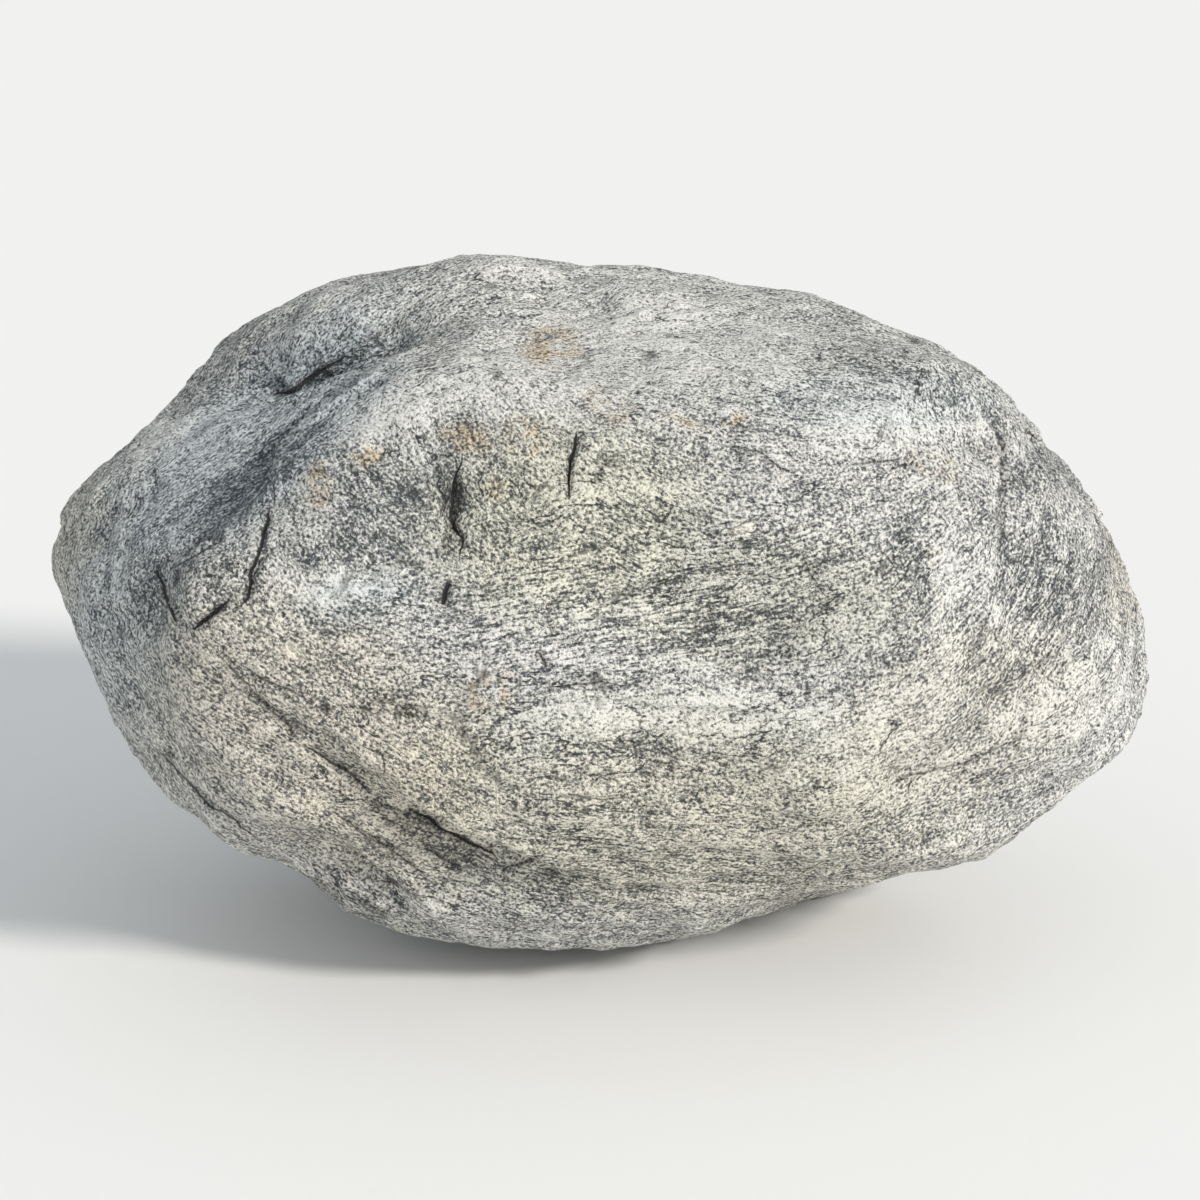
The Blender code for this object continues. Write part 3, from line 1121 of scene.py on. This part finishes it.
MARKS: dict[str, Mark] = {
    "brow crack": Crack(((578, 428), (576, 446), (571, 458), (570, 478), (567, 502)), 2.2, 6.0),
    "upright crack": Crack(
        ((462, 452), (456, 474), (451, 498), (452, 526), (461, 538), (458, 562)),
        2.2, 4.0,
    ),
    "upright crack foot": Crack(((449, 580), (440, 608)), 4.0, 4.0),
    "under the knob": Crack(((188, 631), (214, 614), (230, 597)), 2.6, 5.0),
    "right of the knob": Crack(
        ((270, 500), (262, 546), (251, 576), (248, 598), (236, 612)),
        2.8, 5.0,
    ),
    "left of the knob": Crack(((157, 566), (166, 598), (178, 626)), 2.4, 4.0),
    "scratch": Crack(((536, 651), (549, 669)), 1.8, 3.0),
    "scratch right": Crack(((706, 605), (718, 631)), 1.3, 2.0),
    "slope line": Crack(((238, 684), (284, 722), (302, 743)), 1.5, 2.5),
    "slope line upper": Crack(((248, 672), (314, 703)), 1.3, 2.0),
    "slope hook": Crack(((360, 744), (382, 754), (385, 776)), 1.4, 2.5),
    "shoulder line": Crack(((719, 444), (760, 453), (794, 476)), 1.2, 1.6),
    "pale shoulder line": Crack(((848, 465), (900, 459)), 1.2, 1.6),
    "foot line": Crack(((500, 868), (545, 856)), 1.6, 2.0),
    "left flank line": Crack(((150, 742), (205, 800), (262, 842)), 1.6, 3.0),
    "inner corner line": Crack(((800, 548), (812, 580), (832, 604)), 1.5, 2.0),
    "pale band edge": Crack(((540, 688), (600, 682), (648, 685)), 1.2, 1.4),
    "slope crevice top": Crack(((214, 650), (262, 700), (300, 742)), 1.4, 2.0),
    "slope crevice middle": Crack(((300, 742), (345, 768), (374, 797)), 2.0, 3.0),
    "low ledge crevice": Crack(((404, 806), (462, 838), (500, 858)), 2.6, 4.0),
    "below the low ledge": Crack(((418, 846), (466, 872)), 1.6, 2.5),
    "left of the low ledge": Crack(((330, 812), (392, 850), (430, 880)), 1.6, 2.5),
    "belly line": Crack(((560, 792), (604, 800), (640, 796)), 1.2, 1.8),
    "belly line low": Crack(((556, 838), (622, 846)), 1.2, 1.8),
    "trough crevice": Crack(((268, 396), (292, 392), (350, 352)), 2.6, 3.5),
    "beside the upright crack": Crack(((436, 478), (444, 500), (440, 520)), 1.4, 2.5),
    "knob top": Crack(((166, 572), (205, 548), (226, 538)), 1.6, 2.5),
    "belly line right": Crack(((880, 786), (960, 764), (1020, 740)), 1.2, 1.6),
    "trough lip": Ledge(((262, 366), (290, 391), (356, 347), (422, 292)), 4.5, 7.0, 24.0),
    "block edge": Ledge(
        ((424, 338), (380, 366), (330, 402), (284, 446), (262, 500)),
        8.0, 9.0, 30.0,
    ),
    "low ledge": Ledge(((372, 796), (430, 822), (506, 858)), 5.0, 8.0, 18.0),
    "foot ledge": Ledge(((286, 862), (330, 884), (402, 918)), 4.0, 6.0, 18.0),
    "end ridge": Ledge(((1000, 570), (998, 522), (1001, 446), (972, 400)), 3.5, 4.5, 18.0),
    "upright step": Ledge(((436, 560), (448, 520), (452, 470)), 3.5, 5.0, 18.0),
    "knob edge": Ledge(((228, 534), (204, 544), (158, 570)), 5.0, 6.0, 14.0),
    "end face step": Ledge(((1016, 690), (1060, 640), (1092, 560)), 2.0, 2.5, 14.0),
    "pale band step": Ledge(((600, 700), (690, 706), (790, 712)), 1.6, 1.6, 14.0),
    "left slope ridge": Swell(((160, 700), (230, 768), (330, 830)), 4.0, 18.0),
    "face hollow": Swell(((470, 600), (560, 572), (660, 548)), -2.0, 16.0),
    "crown ridge": Swell(((560, 300), (660, 296), (760, 320)), 2.0, 18.0),
    "end face groove": Swell(((1030, 520), (1060, 600), (1050, 690)), -2.6, 14.0),
    "back crack": Crack(((420, 420), (470, 470), (480, 560), (520, 620)), 3.2, 5.0, Side.BACK),
    "back crack right": Crack(((800, 500), (760, 560), (770, 640)), 3.0, 4.0, Side.BACK),
    "back ledge": Ledge(
        ((300, 700), (460, 720), (640, 690), (820, 720)),
        3.5, 4.0, 22.0, Side.BACK,
    ),
    "back crown ledge": Ledge(((560, 380), (700, 420), (860, 430)), 3.0, 3.5, 20.0, Side.BACK),
    "left end crack": Crack(((520, 520), (560, 600), (548, 700)), 3.0, 4.0, Side.LEFT),
    "left end ledge": Ledge(((440, 640), (560, 690), (700, 700)), 3.0, 4.0, 20.0, Side.LEFT),
    "right end crack": Crack(((640, 470), (610, 560), (640, 650)), 3.0, 4.0, Side.RIGHT),
    "right end ledge": Ledge(((470, 700), (600, 680), (740, 720)), 3.0, 3.5, 20.0, Side.RIGHT),
}

PATCHES: dict[Paint, dict[str, Patch]] = {
    Paint.DARK: {
        "shade strip": Patch((252, 484), 84, 24, 42, 1.0),
        # Painted shade in the trough.
        "trough floor": Patch((330, 366), 52, 10, 33, 0.8),
        "knob": Patch((205, 590), 46, 42, 0, 0.7),
        # Painted shade on the face beside the knob, turned from the key light.
        "beside the knob": Patch((148, 575), 24, 48, 0, 0.8),
        "grey wedge": Patch((908, 595), 22, 70, 4, 0.75),
        "end face": Patch((1040, 560), 40, 66, 18, 0.7),
        "end face top": Patch((1040, 470), 32, 24, 50, 0.5),
        "end face rim": Patch((1094, 590), 12, 66, -10, 0.5),
        "end face low": Patch((984, 700), 60, 18, 45, 0.5),
        "face stripe": Patch((745, 622), 80, 16, 7, 0.45),
        "face spot": Patch((700, 573), 30, 12, 10, 0.55),
        "brow stripe": Patch((826, 500), 70, 12, 14, 0.3),
        "inner corner": Patch((820, 572), 26, 30, -40, 0.35),
        # Painted shadow of the step beside the upright crack.
        "upright crack": Patch((452, 505), 12, 66, 0, 0.75),
        "left brow": Patch((385, 500), 50, 30, -20, 0.7),
        "middle brow": Patch((500, 470), 40, 22, -40, 0.4),
        # Darker mineral at the foot, with painted shade where the stone turns under.
        "foot": Patch((570, 892), 72, 22, -14, 0.5),
        # Painted shadow under the low ledge.
        "low ledge": Patch((440, 840), 62, 15, -28, 0.7),
        # Painted shade on the underside at the left foot.
        "foot left": Patch((350, 902), 44, 20, -32, 0.7),
        "under the pale band": Patch((640, 746), 46, 15, 0, 0.4),
        "shoulder": Patch((880, 365), 70, 12, -14, 0.45),
        "crown left": Patch((230, 350), 60, 20, 42, 0.4),
        "shoulder end": Patch((960, 385), 14, 34, -40, 0.45),
        "blue band": Patch((350, 552), 66, 18, 6, 0.8),
        "face top": Patch((560, 530), 110, 26, 8, 0.45),
        "left brow low": Patch((360, 520), 30, 20, 0, 0.4),
        "right of the knob": Patch((250, 600), 40, 30, 0, 0.4),
        "back": Patch((500, 520), 150, 40, 12, 0.6, Side.BACK),
        "back right": Patch((860, 600), 80, 40, -30, 0.5, Side.BACK),
        "right end": Patch((600, 620), 90, 34, -20, 0.6, Side.RIGHT),
    },
    Paint.PALE: {
        "shoulder": Patch((880, 430), 96, 26, 4, 1.0),
        "rim": Patch((425, 402), 86, 20, 22, 1.0),
        "band": Patch((690, 712), 170, 22, 0, 1.0),
        "left block": Patch((340, 585), 62, 22, 12, 0.8),
        "end spot": Patch((1022, 518), 22, 22, 0, 0.9),
        "brow light": Patch((640, 490), 76, 20, 0, 0.4),
        "belly right": Patch((900, 740), 90, 70, 20, 0.6),
        "end ridge": Patch((945, 560), 18, 100, 0, 0.6),
        "right foot": Patch((1060, 706), 80, 40, 20, 0.8),
        "under the crown": Patch((560, 370), 130, 46, 5, 0.7),
        "crown": Patch((670, 340), 150, 56, 0, 0.9),
        "back": Patch((660, 640), 190, 40, -6, 0.8, Side.BACK),
        "left end": Patch((620, 560), 130, 34, 12, 0.7, Side.LEFT),
        "top": Patch((620, 560), 180, 50, 8, 0.5, Side.TOP),
    },
    Paint.STRIPED: {
        "face": Patch((640, 600), 220, 84, 12, 1.0),
        "end": Patch((1030, 640), 90, 120, 55, 0.8),
        "foot": Patch((620, 860), 240, 60, 0, 0.7),
        "back": Patch((600, 700), 260, 100, 0, 0.8, Side.BACK),
    },
    Paint.OLIVE: {
        "brow": Patch((570, 520), 150, 100, 0, 1.0),
        "face": Patch((760, 600), 160, 70, 0, 0.6),
        "belly": Patch((640, 800), 300, 110, 0, 0.5),
        "back": Patch((560, 600), 220, 120, 0, 0.6, Side.BACK),
    },
    # Painted warm ground bounce on the low faces of every side.
    Paint.GROUND_BOUNCE: {
        "slope": Patch((330, 740), 210, 120, -35, 1.0),
        "foot": Patch((700, 830), 300, 90, 0, 0.6),
        "end": Patch((960, 720), 140, 90, 30, 0.6),
        "back": Patch((760, 760), 240, 100, 0, 0.6, Side.BACK),
        "left end": Patch((620, 700), 160, 80, 0, 0.7, Side.LEFT),
        "right end": Patch((600, 740), 160, 70, 0, 0.6, Side.RIGHT),
    },
    # Painted cool skylight on faces in shade and on the shoulder rim.
    Paint.BLUE: {
        "trough": Patch((255, 440), 190, 62, 42, 1.0),
        "nose": Patch((120, 600), 60, 130, 0, 0.6),
        "block": Patch((350, 600), 60, 26, 12, 0.6),
        "shoulder": Patch((880, 400), 120, 30, 0, 0.5),
    },
    Paint.RUST: {
        "crown lichen": Patch((550, 346), 30, 20, 0, 1.0),
        "rim lichen": Patch((608, 405), 24, 15, -30, 1.0),
        "brow lichen": Patch((524, 436), 24, 20, 0, 0.9),
        "left brow lichen": Patch((466, 438), 28, 16, 0, 0.9),
        "small spot": Patch((368, 456), 18, 10, 20, 1.0),
        "left spot": Patch((318, 486), 14, 24, 0, 0.9),
        "low lichen": Patch((489, 690), 26, 22, 0, 0.9),
        "streak left": Patch((690, 424), 24, 4, -20, 1.0),
        "streak right": Patch((734, 419), 16, 4, 18, 1.0),
        "face": Patch((498, 490), 12, 12, 0, 0.8),
        "shoulder": Patch((932, 465), 30, 14, -20, 0.6),
        "end": Patch((932, 552), 7, 12, 0, 0.8),
        "back lichen": Patch((640, 420), 30, 20, 0, 0.8, Side.BACK),
    },
    Paint.CREAM: {
        "spot": Patch((745, 529), 12, 7, 0, 0.7),
        "streak": Patch((575, 561), 17, 6, 10, 0.6),
        "left spot": Patch((298, 653), 16, 8, -30, 0.6),
    },
    # Painted shade in small pits.
    Paint.PAINTED_SHADE: {
        "pit left": Patch((310, 701), 5, 4, 0, 0.8),
        "pit middle": Patch((328, 709), 4, 4, 0, 0.8),
        "pit right": Patch((399, 711), 5, 4, 0, 0.8),
        "crown pit": Patch((651, 354), 5, 4, 30, 0.8),
        "shoulder pit": Patch((916, 341), 6, 3, -30, 0.8),
    },
}


@dataclass(frozen=True)
class FloorFinish:
    """Plain matt white."""

    colour: Colour = (0.93, 0.93, 0.92, 1)
    roughness: float = 0.9

    def material(self) -> bpy.types.Material:
        """The floor's material."""
        paint = bpy.data.materials.new("floor")
        paint.use_nodes = True
        shader = paint.node_tree.nodes["Principled BSDF"]
        shader.inputs["Base Color"].default_value = self.colour
        shader.inputs["Roughness"].default_value = self.roughness
        return paint


@dataclass
class Studio:
    """A pale floor, a warm low key light from the front right, a cool sky and the camera."""

    floor_radius: float = 12.0
    floor_sides: int = 96
    key_azimuth: float = 50.0
    key_elevation: float = 30.0
    key_distance: float = 4.5
    key_spread: float = 9.0
    key_strength: float = 2.5
    key_colour: tuple[float, float, float] = (1.0, 0.96, 0.90)
    sky_colour: Colour = (0.93, 0.965, 1.0, 1)
    sky_strength: float = 0.60

    def build_floor(self) -> None:
        """Lays the floor under the stone."""
        disc = bmesh.new()
        bmesh.ops.create_circle(
            disc, cap_ends=True, radius=self.floor_radius, segments=self.floor_sides
        )
        mesh = bpy.data.meshes.new("floor")
        disc.to_mesh(mesh)
        disc.free()
        mesh.materials.append(FloorFinish().material())
        floor = bpy.data.objects.new("floor", mesh)
        bpy.context.scene.collection.objects.link(floor)

    def aim(self, thing: bpy.types.Object, place: Array) -> None:
        """Puts a light or a camera somewhere, looking at the stone's core."""
        thing.location = place
        sight = Vector(CORE) - Vector(place)
        thing.rotation_euler = sight.to_track_quat("-Z", "Y").to_euler()
        bpy.context.scene.collection.objects.link(thing)

    def build_lights(self) -> None:
        """Hangs the key light and sets the sky."""
        lamp = bpy.data.lights.new("key", "SUN")
        lamp.angle = radians(self.key_spread)
        lamp.energy = self.key_strength
        lamp.color = self.key_colour
        from_key = Observer(self.key_azimuth, self.key_elevation, self.key_distance)
        self.aim(bpy.data.objects.new("key", lamp), from_key.eye())
        world = bpy.data.worlds.new("sky")
        world.use_nodes = True
        sky = world.node_tree.nodes["Background"]
        sky.inputs["Color"].default_value = self.sky_colour
        sky.inputs["Strength"].default_value = self.sky_strength
        bpy.context.scene.world = world

    def build_camera(self) -> None:
        """Puts the camera where the photograph was taken from."""
        observer = Side.FRONT.value
        lens = bpy.data.cameras.new("camera")
        lens.lens = observer.lens
        lens.sensor_width = SENSOR
        camera = bpy.data.objects.new("camera", lens)
        self.aim(camera, observer.eye())
        bpy.context.scene.camera = camera
        bpy.context.scene.view_settings.view_transform = "Standard"

    def build(self) -> None:
        """Sets up the whole studio."""
        self.build_floor()
        self.build_lights()
        self.build_camera()


def main() -> None:
    """Builds the stone's skin and the studio round it."""
    levels = LEVELS
    skin = BoulderSkin(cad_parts["boulder"], MARKS, PATCHES, levels)
    piece = skin.build()
    piece.data.materials.append(GneissFinish().material())
    log.info("%s: %d triangles", piece.name, triangle_count(piece.data))
    Studio().build()
    log.info("studio: floor, key light, sky and camera")


if __name__ == "__main__":
    main()
